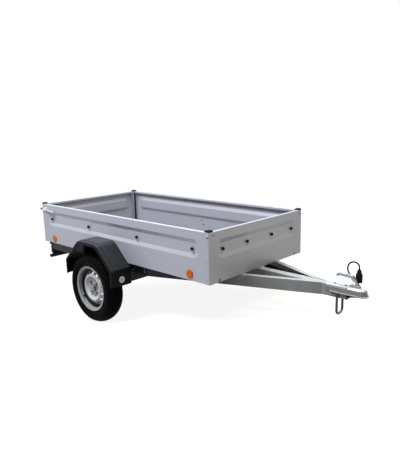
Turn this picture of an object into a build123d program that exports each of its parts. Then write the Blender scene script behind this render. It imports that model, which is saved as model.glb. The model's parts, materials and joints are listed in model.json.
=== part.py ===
from build123d import *
import math
import os

# Utility trailer with a folded sheet box on a three beam drawbar.
# It is drawn level: x runs forward from the rear of the box, y to the left from the centre line,
# and z up from the lower edge of the walls. The last section lets it down onto its support leg.

# Load box, sizes in millimetres
box_length = 2096
box_width = 1088
wall_height = 350
sheet = 1.5
bend_radius = 4
rail_width = 26
rail_lip = 18
foot_width = 26
post_size = 40
post_wall = 2
post_reveal = 13
post_radius = 10
cap_height = 13
cap_radius = 10
floor_thickness = 12
floor_gap = 5
floor_notch_gap = 1

# Groove pressed into every wall
swage_middle = 225.5
swage_height = 129
swage_depth = 11
swage_slope = 28
swage_end_slope = 44
swage_corner = 40
swage_bed_corner = 12
side_swage_margin = 98
end_swage_margin = 82
wall_return_gap = 16

# Tailgate between the rear posts, on three barrel hinges
tailgate_gap = 5
hinge_x = -12
hinge_z = -10
hinge_radius = 8
hinge_pin_radius = 4
hinge_pin_gap = 0.2
hinge_width = 60
hinge_knuckle = 24
hinge_knuckle_gap = 0.5
hinge_leaf = 4
hinge_leaf_height = 55
hinge_shares = (-0.72, 0, 0.72)
latch_z = 304
latch_plate_length = 62
latch_plate_height = 36
latch_plate_thickness = 4
latch_lever_radius = 6
latch_lever_length = 190
latch_lever_drop = 17
latch_knob_radius = 9.5
latch_knob_length = 16
latch_knob_fillet = 4
catch_length = 46
catch_height = 30
catch_thickness = 4

# Knobs for the tarpaulin cord and round side reflectors
knob_radius = 11.5
knob_neck_radius = 7
knob_height = 17
knob_head = 12
knob_dome = 7
knob_z = 221
side_knob_shares = (-0.982, -0.345, 0.345, 0.982)
end_knob_shares = (-0.968, -0.347, 0.347, 0.968)
reflector_radius = 30
reflector_thickness = 7
reflector_z = 46
reflector_share = 0.826

# Chassis beams
beam_height = 80
beam_flange = 40
beam_wall = 3
beam_inset = 44
kink_x = 1417
apex_back = 262
centre_beam_width = 60
centre_beam_back = 91
cross_width = 40
cross_setback = 30
cross_middle_x = 560
sill_rear = 7
sill_depth = 35
sill_height = 40

# Lamp bar and rear lamps
bar_wall = 3
bar_drop = 137
bar_curl_radius = 28
bar_curl_angle = 165
lamp_width = 205
lamp_height = 84
lamp_housing = 32
lamp_lens = 14
lamp_inset = 10
lamp_radius = 12
lens_margin = 5
lens_gap = 1.5
lens_radius = 6
lens_red_share = 0.66

# Axle, arms and wheels
wheel_x = 943
wheel_z = -229
wheel_offset = 93
axle_x = 1060
axle_z = -185
axle_size = 60
axle_wall = 4
axle_inset = 10
bracket_top = 150
bracket_foot = 80
bracket_thickness = 8
bracket_hole = 20
arm_thickness = 26
arm_axle_radius = 34
arm_stub_radius = 25
stub_radius = 15
stub_gap = 0.3
hub_radius = 34
hub_start = -105
hub_flange_radius = 66
hub_flange = 12
hub_pilot_radius = 28
hub_pilot = 8
cap_dome_radius = 25
cap_dome = 24
cap_dome_fillet = 8
rim_radius = 182
rim_seat_radius = 165
rim_seat_taper = 1
rim_well_radius = 142
rim_half_width = 62
rim_lip = 5
rim_wall = 3
rim_bend = 3
well_inner = -26
well_outer = 10
well_wall = 10
disc_wall = 3.5
disc_bend = 6
disc_face = 18
disc_skirt_inner = -10
disc_skirt_outer = 12
disc_ridge = 44
disc_ridge_radius = 97
disc_shoulder = 38
disc_shoulder_radius = 114
disc_bowl_radius = 66
vent_count = 14
vent_radius = 10
vent_circle = 121
tyre_radius = 281
tyre_width = 150
tyre_wide_radius = 226
tyre_shoulder = 64
tyre_shoulder_radius = 257
bead_gap = 0.4
bead_step = 3

# Mudguards
guard_x = 955
guard_top = 157
guard_top_half = 126
guard_half = 322
guard_slope_low = -25
guard_low = -152
guard_width = 178
guard_wall = 4
guard_skirt = 28
guard_radius = 95
guard_kink_radius = 20
guard_edge = 16
guard_step = 4
guard_rim = 34
guard_step_radius = 3
stay_thickness = 5
stay_root = 32
washer_radius = 25
washer_thickness = 4
washer_offset = 91
washer_z = -101

# Coupling, handle and support leg; places along the drawbar are measured back from the ball
coupling_back = 235
ball_x = 2875
ball_radius = 25.2
socket_depth = 16
coupling_width = 72
coupling_top = 4
coupling_top_width = 62
coupling_foot = -38
coupling_flange = 9
coupling_flange_wall = 5
coupling_flange_back = 202
coupling_fillet = 22
coupling_end_gap = 6
handle_width = 26
handle_thickness = 15
handle_bend = 16
handle_end_back = 171
handle_end_z = 83
handle_end_drop = 23
handle_crook_back = 63
handle_crook_z = 77
handle_tip_back = 44
handle_tip_z = 50
handle_arm = 8
handle_arm_width = 18
handle_foot_back = 26
handle_block_back = 81
handle_block_fore = 19
handle_block_top = 18
handle_block_fillet = 4
leg_back = 148
leg_radius = 8
leg_low = -187
leg_bend = 26

# Cable with its plug in a holder
cable_diameter = 10
cable_bend_share = 0.45
plug_straight = 25
boss_radius = 9
plug_back = 45
plug_y = 47
plug_foot = 29
plug_radius = 17
plug_clearance = 0.3
holder_radius = 21
holder_height = 12
holder_wall = 3
strip_back = 63
strip_fore = 49
strip_side = 39
plug_steps = (
    # height, radius
    (46, plug_radius),
    (5, plug_radius + 3),
    (9, plug_radius - 1),
    (22, plug_radius - 4),
)
plug_top = plug_foot + sum(height for height, radius in plug_steps)
cable_points = (
    # back from the ball, to the left, height
    (83, 8, -64),
    (57, 8, -64),
    (33, 26, -66),
    (25, 56, -58),
    (35, 76, -32),
    (59, 76, 0),
    (85, 66, 30),
    (111, 54, 62),
    (127, 47, 92),
    (128, 45, 122),
    (113, 45, 150),
    (87, 45, 163),
    (59, 46, 156),
)

# Places that follow from the sizes
box_middle = box_length / 2
half_width = box_width / 2
beam_line = half_width - beam_inset
axle_half_width = beam_line - axle_inset
wheel_y = half_width + wheel_offset
washer_y = half_width + washer_offset
apex_x = ball_x - apex_back
centre_beam_front = ball_x - centre_beam_back
coupling_rear = ball_x - coupling_back
coupling_flange_rear = ball_x - coupling_flange_back
handle_end_x = ball_x - handle_end_back
handle_crook_x = ball_x - handle_crook_back
handle_tip_x = ball_x - handle_tip_back
handle_foot_x = ball_x - handle_foot_back
handle_block_rear = ball_x - handle_block_back
handle_block_front = ball_x - handle_block_fore
leg_x = ball_x - leg_back
plug_x = ball_x - plug_back
strip_rear = ball_x - strip_back
strip_front = ball_x - strip_fore
cable_route = [(ball_x - back, y, z) for back, y, z in cable_points]
cable_route += [(plug_x, plug_y, plug_top + plug_straight), (plug_x, plug_y, plug_top)]
beam_top = 0
sill_top = sheet
beam_bottom = beam_top - beam_height
inner_corner = post_size + floor_notch_gap

pieces = {}


def rect(x0, x1, y0, y1, mode=Mode.ADD):
    """Rectangle between two corners."""
    with Locations(((x0 + x1) / 2, (y0 + y1) / 2)):
        Rectangle(x1 - x0, y1 - y0, mode=mode)


def hollow_rect(x0, x1, y0, y1, wall):
    """Section of a rectangular tube with rounded edges between two corners."""
    with Locations(((x0 + x1) / 2, (y0 + y1) / 2)):
        RectangleRounded(x1 - x0, y1 - y0, 2 * wall)
        RectangleRounded(x1 - x0 - 2 * wall, y1 - y0 - 2 * wall, wall, mode=Mode.SUBTRACT)


def block(x0, x1, y0, y1, z0, z1, mode=Mode.ADD):
    """Box between two corners."""
    with Locations(((x0 + x1) / 2, (y0 + y1) / 2, (z0 + z1) / 2)):
        Box(x1 - x0, y1 - y0, z1 - z0, mode=mode)


def fold(plane, span, points):
    """Bent sheet whose outer line runs through the points, drawn out over the span."""
    with BuildSketch(plane) as section:
        with BuildLine():
            FilletPolyline(*points, radius=bend_radius)
            offset(amount=sheet, side=Side.LEFT)
        make_face()
    extrude(section.sketch, amount=span)


def press_swage(outside, length):
    """Groove of even sheet; the plane lies on the outer face at the groove's middle and looks inward."""
    for plane, mode in ((outside.offset(sheet), Mode.ADD), (outside, Mode.SUBTRACT)):
        with BuildSketch(plane) as mouth:
            RectangleRounded(length, swage_height, swage_corner)
        with BuildSketch(plane.offset(swage_depth)) as bed:
            RectangleRounded(length - 2 * swage_end_slope, swage_height - 2 * swage_slope, swage_bed_corner)
        loft(sections=(mouth.sketch.face(), bed.sketch.face()), mode=mode)


def knob(plane):
    """Domed tarpaulin knob standing on a plane."""
    across = Plane(plane.origin, x_dir=plane.x_dir, z_dir=plane.y_dir)
    neck = knob_height - knob_head
    crown = knob_radius - knob_dome
    with BuildSketch(across) as half:
        with BuildLine():
            Polyline((0, 0), (0, -knob_height), (crown, -knob_height))
            RadiusArc((crown, -knob_height), (knob_radius, knob_dome - knob_height), -knob_dome)
            Polyline(
                (knob_radius, knob_dome - knob_height),
                (knob_radius, -neck),
                (knob_neck_radius, -neck),
                (knob_neck_radius, 0),
                (0, 0),
            )
        make_face()
    revolve(half.sketch, axis=Axis(plane.origin, plane.z_dir))


def keep(name, builder):
    """Files a finished piece under its node name."""
    builder.part.label = name
    pieces[name] = builder.part


def keep_pair(name, left_builder):
    """Files a left piece and its mirror image on the right."""
    keep(name + "_left", left_builder)
    with BuildPart() as right_builder:
        mirror(left_builder.part, about=Plane.XZ)
    keep(name + "_right", right_builder)


# Floor board on the feet of the walls
with BuildPart() as floor_panel:
    with BuildSketch(Plane.XY.offset(sheet)):
        rect(sill_rear, box_length - floor_gap, -half_width + floor_gap, half_width - floor_gap)
        for x in (0, box_length):
            for y in (-half_width, half_width):
                with Locations((x, y)):
                    Rectangle(2 * inner_corner, 2 * inner_corner, mode=Mode.SUBTRACT)
    extrude(amount=floor_thickness)
keep("floor_panel", floor_panel)

# Corner posts, square tubes with a rounded edge that shows between the walls
with BuildPart() as corner_posts:
    with BuildSketch(Plane((0, -half_width, 0))) as post:
        rect(sheet, post_size, sheet, post_size)
        rect(0, post_reveal, 0, post_reveal)
        fillet(post.vertices().group_by(Axis.X)[0].sort_by(Axis.Y)[0], post_radius)
        hollow_low = sheet + post_wall
        hollow_high = post_size - post_wall
        rect(hollow_low, hollow_high, hollow_low, hollow_high, mode=Mode.SUBTRACT)
    extrude(amount=wall_height)
    mirror(about=Plane.XZ)
    mirror(about=Plane.YZ.offset(box_middle))
keep("corner_posts", corner_posts)

# Domed caps on the posts
with BuildPart() as corner_caps:
    with BuildSketch(Plane((0, -half_width, wall_height))) as cap:
        rect(0, post_size, 0, post_size)
        fillet(cap.vertices().group_by(Axis.X)[0].sort_by(Axis.Y)[0], post_radius)
    extrude(amount=cap_height)
    fillet(corner_caps.faces().sort_by(Axis.Z)[-1].edges(), cap_radius)
    mirror(about=Plane.XZ)
    mirror(about=Plane.YZ.offset(box_middle))
keep("corner_caps", corner_caps)

# Side walls: skin over the posts, rail and foot between them
return_place = post_size + wall_return_gap
return_low = sheet + floor_thickness + tailgate_gap
return_high = wall_height - sheet
wall_line = (
    (rail_width, wall_height - rail_lip),
    (rail_width, wall_height),
    (0, wall_height),
    (0, 0),
    (foot_width, 0),
)
with BuildPart() as side_wall_left:
    fold(
        Plane((box_length - post_size, half_width, 0), x_dir=(0, -1, 0), z_dir=(-1, 0, 0)),
        box_length - 2 * post_size,
        wall_line,
    )
    block(post_reveal, post_size, half_width - sheet, half_width, 0, wall_height)
    block(box_length - post_size, box_length - post_reveal, half_width - sheet, half_width, 0, wall_height)
    press_swage(
        Plane((box_middle, half_width, swage_middle), x_dir=(1, 0, 0), z_dir=(0, -1, 0)),
        box_length - 2 * side_swage_margin,
    )
    for x in (return_place, box_length - return_place - sheet):
        block(x, x + sheet, half_width - rail_width + sheet, half_width - sheet, return_low, return_high)
keep_pair("side_wall", side_wall_left)

# Front wall, bolted to the front posts
with BuildPart() as front_wall:
    fold(
        Plane((box_length, -half_width + post_size, 0), x_dir=(-1, 0, 0), z_dir=(0, 1, 0)),
        box_width - 2 * post_size,
        wall_line,
    )
    for side in (-1, 1):
        y_near = side * (half_width - post_size)
        y_far = side * (half_width - post_reveal)
        block(box_length - sheet, box_length, min(y_near, y_far), max(y_near, y_far), 0, wall_height)
    press_swage(
        Plane((box_length, 0, swage_middle), x_dir=(0, 1, 0), z_dir=(-1, 0, 0)),
        box_width - 2 * end_swage_margin,
    )
    for y in (return_place - half_width, half_width - return_place - sheet):
        block(
            box_length - rail_width + sheet, box_length - sheet,
            y, y + sheet,
            return_low, return_high,
        )
keep("front_wall", front_wall)

# Tailgate panel with returned ends
tailgate_half = half_width - post_size - tailgate_gap
with BuildPart() as tailgate:
    fold(
        Plane((0, tailgate_half, 0), x_dir=(1, 0, 0), z_dir=(0, -1, 0)),
        2 * tailgate_half,
        (*wall_line[:3], (0, tailgate_gap)),
    )
    for y in (return_place - half_width, half_width - return_place - sheet):
        block(sheet, rail_width - sheet, y, y + sheet, return_low, return_high)
    press_swage(
        Plane((0, 0, swage_middle), x_dir=(0, 1, 0), z_dir=(1, 0, 0)),
        box_width - 2 * end_swage_margin,
    )
keep("tailgate", tailgate)

# Tarpaulin knobs, which stand in the grooves
knob_seat = half_width - swage_depth
side_bed_half = box_middle - side_swage_margin - swage_end_slope
end_bed_half = half_width - end_swage_margin - swage_end_slope
with BuildPart() as wall_knobs:
    for share in side_knob_shares:
        knob(Plane((box_middle + share * side_bed_half, knob_seat, knob_z), z_dir=(0, 1, 0)))
        knob(Plane((box_middle + share * side_bed_half, -knob_seat, knob_z), z_dir=(0, -1, 0)))
    for share in end_knob_shares:
        knob(Plane((box_length - swage_depth, share * end_bed_half, knob_z), z_dir=(1, 0, 0)))
keep("wall_knobs", wall_knobs)

with BuildPart() as tailgate_knobs:
    for share in end_knob_shares:
        knob(Plane((swage_depth, share * end_bed_half, knob_z), z_dir=(-1, 0, 0)))
keep("tailgate_knobs", tailgate_knobs)

# Side reflectors
with BuildPart() as side_reflectors:
    for x in (box_middle * (1 - reflector_share), box_middle * (1 + reflector_share)):
        with BuildSketch(Plane((x, half_width, reflector_z), z_dir=(0, 1, 0))) as disc:
            Circle(reflector_radius)
        extrude(disc.sketch, amount=reflector_thickness)
    fillet(side_reflectors.faces().sort_by(Axis.Y)[-2:].edges(), reflector_thickness / 2)
    mirror(about=Plane.XZ)
keep("side_reflectors", side_reflectors)

# Drawbar beams: channels that run along the box, turn in at the kink and meet the centre beam
beam_apex = centre_beam_width / 2
sill_front = sill_rear + sill_depth
beam_rear = sill_front + bar_wall
beam_path = ((beam_rear, beam_line), (kink_x, beam_line), (apex_x, beam_apex))
with BuildPart() as drawbar_beam_left:
    for width, low, high in (
        (beam_wall, beam_bottom, beam_top),
        (beam_flange, beam_top - beam_wall, beam_top),
        (beam_flange, beam_bottom, beam_bottom + beam_wall),
    ):
        with BuildSketch(Plane.XY.offset(low)):
            with BuildLine():
                Polyline(*beam_path)
                offset(amount=width, side=Side.RIGHT, kind=Kind.INTERSECTION)
            make_face()
        extrude(amount=high - low)
    block(kink_x, apex_x, -beam_apex, beam_apex, beam_bottom, beam_top, mode=Mode.SUBTRACT)
keep_pair("drawbar_beam", drawbar_beam_left)

# Cross members set into the channels
cross_front_x = kink_x - cross_setback
for name, x in (("front", cross_front_x), ("middle", cross_middle_x)):
    with BuildPart() as cross_member:
        with BuildSketch(Plane.XZ):
            hollow_rect(
                x - cross_width / 2, x + cross_width / 2,
                beam_bottom + beam_wall, beam_top - beam_wall,
                beam_wall,
            )
        extrude(amount=beam_line - beam_wall, both=True)
    keep("cross_member_" + name, cross_member)

# Centre beam, a tube from the front cross member into the coupling
centre_beam_rear = cross_front_x + cross_width / 2
with BuildPart() as drawbar_beam_centre:
    with BuildSketch(Plane.YZ.offset(centre_beam_rear)):
        hollow_rect(-beam_apex, beam_apex, beam_bottom, beam_top, beam_wall)
    extrude(amount=centre_beam_front - centre_beam_rear)
keep("drawbar_beam_centre", drawbar_beam_centre)

# Rear sill, the tube that carries the tailgate hinges and the lamp bar
sill_half = half_width - inner_corner
with BuildPart() as rear_sill:
    with BuildSketch(Plane.XZ):
        hollow_rect(sill_rear, sill_front, sill_top - sill_height, sill_top, beam_wall)
    extrude(amount=sill_half, both=True)
keep("rear_sill", rear_sill)

# Tailgate hinges: fixed knuckles with their pins, and the leaves on the tailgate
hinge_places = [share * tailgate_half for share in hinge_shares]
hinge_axis = Plane((hinge_x, 0, hinge_z), x_dir=(1, 0, 0), z_dir=(0, -1, 0))
with BuildPart() as hinge_knuckles:
    for y in hinge_places:
        middle = hinge_axis.offset(-y)
        with BuildSketch(middle) as knuckle:
            Circle(hinge_radius)
            rect(0, sill_rear - hinge_x, -hinge_radius, 0)
        extrude(knuckle.sketch, amount=hinge_knuckle / 2, both=True)
        with BuildSketch(middle) as pin:
            Circle(hinge_pin_radius)
        extrude(pin.sketch, amount=hinge_width / 2, both=True)
        block(
            sill_rear - hinge_leaf, sill_rear,
            y - hinge_width / 2, y + hinge_width / 2,
            sill_top - sill_height, hinge_z + hinge_radius,
        )
keep("hinge_knuckles", hinge_knuckles)

with BuildPart() as hinge_leaves:
    for y in hinge_places:
        middle = hinge_axis.offset(-y)
        with BuildSketch(middle) as knuckle:
            Circle(hinge_radius)
            rect(hinge_radius, -hinge_x, 0, tailgate_gap - hinge_z)
            rect(0, -hinge_x, 0, hinge_radius)
            Circle(hinge_pin_radius + hinge_pin_gap, mode=Mode.SUBTRACT)
        extrude(knuckle.sketch, amount=hinge_width / 2, both=True)
        gap = hinge_knuckle / 2 + hinge_knuckle_gap
        block(
            hinge_x - hinge_radius, 0,
            y - gap, y + gap,
            hinge_z - hinge_radius, tailgate_gap,
            mode=Mode.SUBTRACT,
        )
        block(
            -hinge_leaf, 0,
            y - hinge_width / 2, y + hinge_width / 2,
            tailgate_gap, tailgate_gap + hinge_leaf_height,
        )
keep("hinge_leaves", hinge_leaves)

# Tailgate latches: plates with long levers on the side walls, dark knobs at the levers' rear ends
plate_out = half_width + latch_plate_thickness
lever_y = plate_out + latch_lever_radius
with BuildPart() as latch_levers:
    with BuildSketch(Plane((post_reveal, half_width, latch_z), x_dir=(1, 0, 0), z_dir=(0, 1, 0))):
        with Locations((latch_plate_length / 2, 0)):
            SlotOverall(latch_plate_length, latch_plate_height)
    extrude(amount=latch_plate_thickness)
    with BuildLine() as lever_line:
        Polyline(
            (post_reveal, lever_y, latch_z),
            (post_reveal + latch_plate_length, lever_y, latch_z),
            (post_reveal + latch_lever_length, lever_y, latch_z - latch_lever_drop),
        )
    with BuildSketch(Plane((post_reveal, lever_y, latch_z), z_dir=(1, 0, 0))):
        Circle(latch_lever_radius)
    sweep(path=lever_line.line, transition=Transition.ROUND)
    mirror(about=Plane.XZ)
keep("latch_levers", latch_levers)

with BuildPart() as latch_knobs:
    with BuildSketch(Plane.YZ.offset(post_reveal)):
        with Locations((lever_y, latch_z)):
            Circle(latch_knob_radius)
    extrude(amount=-latch_knob_length)
    fillet(latch_knobs.faces().sort_by(Axis.X)[0].edges(), latch_knob_fillet)
    mirror(about=Plane.XZ)
keep("latch_knobs", latch_knobs)

# Catch plates on the tailgate's ends, which the latches hold
with BuildPart() as latch_catches:
    block(
        -catch_thickness, 0,
        tailgate_half - catch_length, tailgate_half,
        latch_z - catch_height / 2, latch_z + catch_height / 2,
    )
    fillet(latch_catches.faces().sort_by(Axis.X)[0].edges(), catch_thickness / 2)
    mirror(about=Plane.XZ)
keep("latch_catches", latch_catches)

# Lamp bar with its lower edge curled to the rear
with BuildPart() as lamp_bar:
    with BuildSketch(Plane.XZ):
        with BuildLine():
            Line((sill_front, 0), (sill_front, -bar_drop))
            CenterArc((sill_front - bar_curl_radius, -bar_drop), bar_curl_radius, 0, -bar_curl_angle)
            offset(amount=bar_wall, side=Side.LEFT)
        make_face()
    extrude(amount=sill_half, both=True)
keep("lamp_bar", lamp_bar)

# Rear lamps on the bar: black housings, each with a red and an amber lens
lamp_out = sill_half - lamp_inset
lamp_top = sill_top - sill_height - floor_gap
lens_face = sill_front - lamp_housing
lens_out = lamp_out - lens_margin
lens_in = lamp_out - lamp_width + lens_margin
lens_split = lens_in + lens_red_share * (lens_out - lens_in)
with BuildPart() as rear_lamp_left:
    block(lens_face, sill_front, lamp_out - lamp_width, lamp_out, lamp_top - lamp_height, lamp_top)
    fillet(rear_lamp_left.edges().filter_by(Axis.X), lamp_radius)
keep_pair("rear_lamp", rear_lamp_left)

for name, near, far in (("red", lens_in, lens_split - lens_gap), ("amber", lens_split, lens_out)):
    with BuildPart() as lens_left:
        block(
            lens_face - lamp_lens, lens_face,
            near, far,
            lamp_top - lamp_height + lens_margin, lamp_top - lens_margin,
        )
        fillet(lens_left.edges().filter_by(Axis.X), lens_radius)
        fillet(lens_left.faces().sort_by(Axis.X)[0].edges(), lens_radius)
    keep_pair("lens_" + name, lens_left)

# Axle tube with its brackets under the beams
with BuildPart() as axle_tube:
    with BuildSketch(Plane.XZ):
        hollow_rect(
            axle_x - axle_size / 2, axle_x + axle_size / 2,
            axle_z - axle_size / 2, axle_z + axle_size / 2,
            axle_wall,
        )
    extrude(amount=axle_half_width, both=True)
keep("axle_tube", axle_tube)

bracket_low = axle_z + axle_size / 2
with BuildPart() as axle_brackets:
    with BuildSketch(Plane.XZ.offset(-(beam_line - beam_flange / 2))):
        with BuildLine():
            Polyline(
                (axle_x - bracket_top / 2, beam_bottom),
                (axle_x + bracket_top / 2, beam_bottom),
                (axle_x + bracket_foot / 2, bracket_low),
                (axle_x - bracket_foot / 2, bracket_low),
                close=True,
            )
        make_face()
        with Locations((axle_x, (beam_bottom + bracket_low) / 2)):
            Circle(bracket_hole, mode=Mode.SUBTRACT)
    extrude(amount=bracket_thickness / 2, both=True)
    mirror(about=Plane.XZ)
keep("axle_brackets", axle_brackets)

# Swing arm with its stub axle
arm_out = axle_half_width + arm_thickness
disc_y = wheel_y + disc_face
stub_end = disc_y - hub_flange / 2
with BuildPart() as swing_arm_left:
    with BuildSketch(Plane.XZ.offset(-axle_half_width)):
        with Locations((axle_x, axle_z)):
            Circle(arm_axle_radius)
        with Locations((wheel_x, wheel_z)):
            Circle(arm_stub_radius)
        make_hull()
    extrude(amount=-arm_thickness)
    with BuildSketch(Plane.XZ.offset(-arm_out)):
        with Locations((wheel_x, wheel_z)):
            Circle(stub_radius)
    extrude(amount=arm_out - stub_end)
keep_pair("swing_arm", swing_arm_left)

# Wheel pieces are turned about the stub: sketch x runs outward from the wheel's middle and y is the radius
wheel_plane = Plane((wheel_x, wheel_y, wheel_z), x_dir=(0, 1, 0), z_dir=(1, 0, 0))
wheel_axis = Axis((wheel_x, wheel_y, wheel_z), (0, 1, 0))
with BuildPart() as hub_left:
    with BuildSketch(wheel_plane):
        rect(hub_start, disc_face, 0, hub_radius)
        rect(disc_face - hub_flange, disc_face, 0, hub_flange_radius)
        rect(disc_face, disc_face + hub_pilot, 0, hub_pilot_radius)
        rect(hub_start, stub_end - wheel_y + stub_gap, 0, stub_radius + stub_gap, mode=Mode.SUBTRACT)
    revolve(axis=wheel_axis)
keep_pair("hub", hub_left)

with BuildPart() as dust_cap_left:
    with BuildSketch(wheel_plane):
        cap_start = disc_face + hub_pilot
        rect(cap_start, cap_start + cap_dome, 0, cap_dome_radius)
    revolve(axis=wheel_axis)
    fillet(dust_cap_left.faces().sort_by(Axis.Y)[-1].edges(), cap_dome_fillet)
keep_pair("dust_cap", dust_cap_left)

# Pressed steel rim: barrel and bowl shaped disc with a ring of vents
seat = rim_half_width - rim_lip
with BuildPart() as rim_left:
    with BuildSketch(wheel_plane):
        with BuildLine():
            FilletPolyline(
                (-rim_half_width, rim_radius),
                (-seat, rim_seat_radius),
                (well_inner - well_wall, rim_seat_radius - rim_seat_taper),
                (well_inner, rim_well_radius),
                (well_outer, rim_well_radius),
                (well_outer + well_wall, rim_seat_radius - rim_seat_taper),
                (seat, rim_seat_radius),
                (rim_half_width, rim_radius),
                radius=rim_bend,
            )
            offset(amount=rim_wall, side=Side.RIGHT)
        make_face()
    with BuildSketch(wheel_plane):
        with BuildLine():
            FilletPolyline(
                (disc_skirt_inner, rim_well_radius - rim_wall),
                (disc_skirt_outer, rim_well_radius - rim_wall),
                (disc_shoulder, disc_shoulder_radius),
                (disc_ridge, disc_ridge_radius),
                (disc_face + disc_wall, disc_bowl_radius),
                (disc_face + disc_wall, hub_pilot_radius),
                radius=disc_bend,
            )
            offset(amount=disc_wall, side=Side.RIGHT)
        make_face()
    revolve(axis=wheel_axis)
    with BuildSketch(Plane((wheel_x, wheel_y, wheel_z), z_dir=(0, 1, 0))):
        with PolarLocations(vent_circle, vent_count):
            Circle(vent_radius)
    extrude(amount=rim_half_width, mode=Mode.SUBTRACT)
keep_pair("rim", rim_left)

# Tyre with a round crown
bead_radius = rim_seat_radius + bead_gap
bead_out = seat - bead_step
with BuildPart() as tyre_left:
    with BuildSketch(wheel_plane):
        with BuildLine():
            Polyline(
                (-bead_out, rim_radius),
                (-bead_out, bead_radius),
                (bead_out, bead_radius),
                (bead_out, rim_radius),
            )
            ThreePointArc(
                (bead_out, rim_radius),
                (tyre_width / 2, tyre_wide_radius),
                (tyre_shoulder, tyre_shoulder_radius),
            )
            ThreePointArc(
                (tyre_shoulder, tyre_shoulder_radius),
                (0, tyre_radius),
                (-tyre_shoulder, tyre_shoulder_radius),
            )
            ThreePointArc(
                (-tyre_shoulder, tyre_shoulder_radius),
                (-tyre_width / 2, tyre_wide_radius),
                (-bead_out, rim_radius),
            )
        make_face()
    revolve(axis=wheel_axis)
keep_pair("tyre", tyre_left)


def arch(inner, outer, inset, low, edge=0):
    """Solid under the mudguard's outline, set in evenly, between two distances from the wall."""
    lean = math.atan2(guard_half - guard_top_half, guard_top - guard_slope_low)
    half = guard_half - inset
    slope_low = guard_slope_low - inset * math.tan(lean / 2)
    top_half = guard_top_half - inset * math.tan(math.pi / 4 - lean / 2)
    with BuildSketch(Plane.XZ.offset(-half_width - inner)) as outline:
        with BuildLine():
            FilletPolyline(
                (guard_x - half, low),
                (guard_x - half, slope_low),
                (guard_x - top_half, guard_top - inset),
                (guard_x + top_half, guard_top - inset),
                (guard_x + half, slope_low),
                (guard_x + half, low),
                radius=(guard_kink_radius, guard_radius - inset, guard_radius - inset, guard_kink_radius),
            )
            Line((guard_x + half, low), (guard_x - half, low))
        make_face()
    solid = extrude(outline.sketch, amount=inner - outer, mode=Mode.PRIVATE)
    if edge:
        rim = solid.faces().sort_by(Axis.Y)[-1].edges().sort_by(Axis.Z)[1:]
        solid = solid.fillet(edge, rim)
    return solid


# Moulded mudguard: raised crown, stepped and rounded outer edge with a skirt, and a panel beside the wall
guard_crown = guard_width - guard_rim
guard_inner = guard_step + guard_wall
with BuildPart() as mudguard_left:
    add(arch(0, guard_width, guard_step, guard_low, guard_edge))
    add(arch(0, guard_crown, 0, guard_low, guard_step_radius))
    add(
        arch(guard_wall, guard_width - guard_wall, guard_inner, guard_low, guard_edge - guard_wall),
        mode=Mode.SUBTRACT,
    )
    add(arch(guard_crown, guard_width, guard_skirt, guard_low), mode=Mode.SUBTRACT)
    block(
        guard_x - guard_half + guard_inner, guard_x + guard_half - guard_inner,
        half_width, half_width + guard_wall,
        guard_low, guard_slope_low,
        mode=Mode.SUBTRACT,
    )
keep_pair("mudguard", mudguard_left)

# Stays from the beams to the flaps, and the large washers outside the flaps
with BuildPart() as mudguard_stays:
    for x in (guard_x + guard_half - guard_inner - stay_thickness, guard_x - guard_half + guard_inner):
        with BuildSketch(Plane.YZ.offset(x)) as stay:
            with BuildLine():
                Polyline(
                    (beam_line, beam_bottom + stay_root),
                    (beam_line, beam_bottom),
                    (washer_y, washer_z - washer_radius),
                    (washer_y + washer_radius, washer_z - washer_radius),
                    (washer_y + washer_radius, washer_z + washer_radius),
                    (washer_y, washer_z + washer_radius),
                    close=True,
                )
            make_face()
        extrude(stay.sketch, amount=stay_thickness)
    mirror(about=Plane.XZ)
keep("mudguard_stays", mudguard_stays)

with BuildPart() as mudguard_washers:
    for x in (guard_x + guard_half, guard_x - guard_half - washer_thickness):
        with BuildSketch(Plane.YZ.offset(x)) as washer:
            with Locations((washer_y, washer_z)):
                Circle(washer_radius)
        extrude(washer.sketch, amount=washer_thickness)
    mirror(about=Plane.XZ)
keep("mudguard_washers", mudguard_washers)

# Pressed coupling head over the end of the centre beam, with the ball socket under its domed nose
coupling_base = coupling_foot - coupling_flange_wall
coupling_half = (
    (0, coupling_foot),
    (coupling_width / 2, coupling_foot),
    (coupling_top_width / 2, coupling_top),
    (0, coupling_top),
)
with BuildPart() as coupling_body:
    with BuildSketch(Plane.YZ.offset(coupling_rear)) as section:
        with BuildLine():
            Polyline(*coupling_half, close=True)
        make_face()
        fillet(section.vertices().group_by(Axis.Y)[-1].sort_by(Axis.X)[-1], coupling_fillet)
        mirror(about=Plane.YZ)
    extrude(amount=ball_x - coupling_rear)
    with BuildSketch(Plane((ball_x, 0, 0), x_dir=(1, 0, 0), z_dir=(0, -1, 0))) as nose:
        with BuildLine():
            Polyline(*coupling_half, close=True)
        make_face()
        fillet(nose.vertices().group_by(Axis.Y)[-1].sort_by(Axis.X)[-1], coupling_fillet)
    revolve(axis=Axis((ball_x, 0, 0), (0, 0, 1)))
    with BuildSketch(Plane.XY.offset(coupling_base)):
        flange_half = coupling_width / 2 + coupling_flange
        rect(coupling_flange_rear, ball_x, -flange_half, flange_half)
        with Locations((ball_x, 0)):
            Circle(flange_half)
    extrude(amount=coupling_flange_wall)
    block(
        coupling_rear, centre_beam_front + coupling_end_gap,
        -beam_apex, beam_apex,
        beam_bottom, beam_top,
        mode=Mode.SUBTRACT,
    )
    with BuildSketch(Plane.XY.offset(coupling_base)):
        with Locations((ball_x, 0)):
            Circle(ball_radius)
    extrude(amount=socket_depth, mode=Mode.SUBTRACT)
    with Locations((ball_x, 0, coupling_base + socket_depth)):
        Sphere(ball_radius, mode=Mode.SUBTRACT)
keep("coupling_body", coupling_body)

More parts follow.
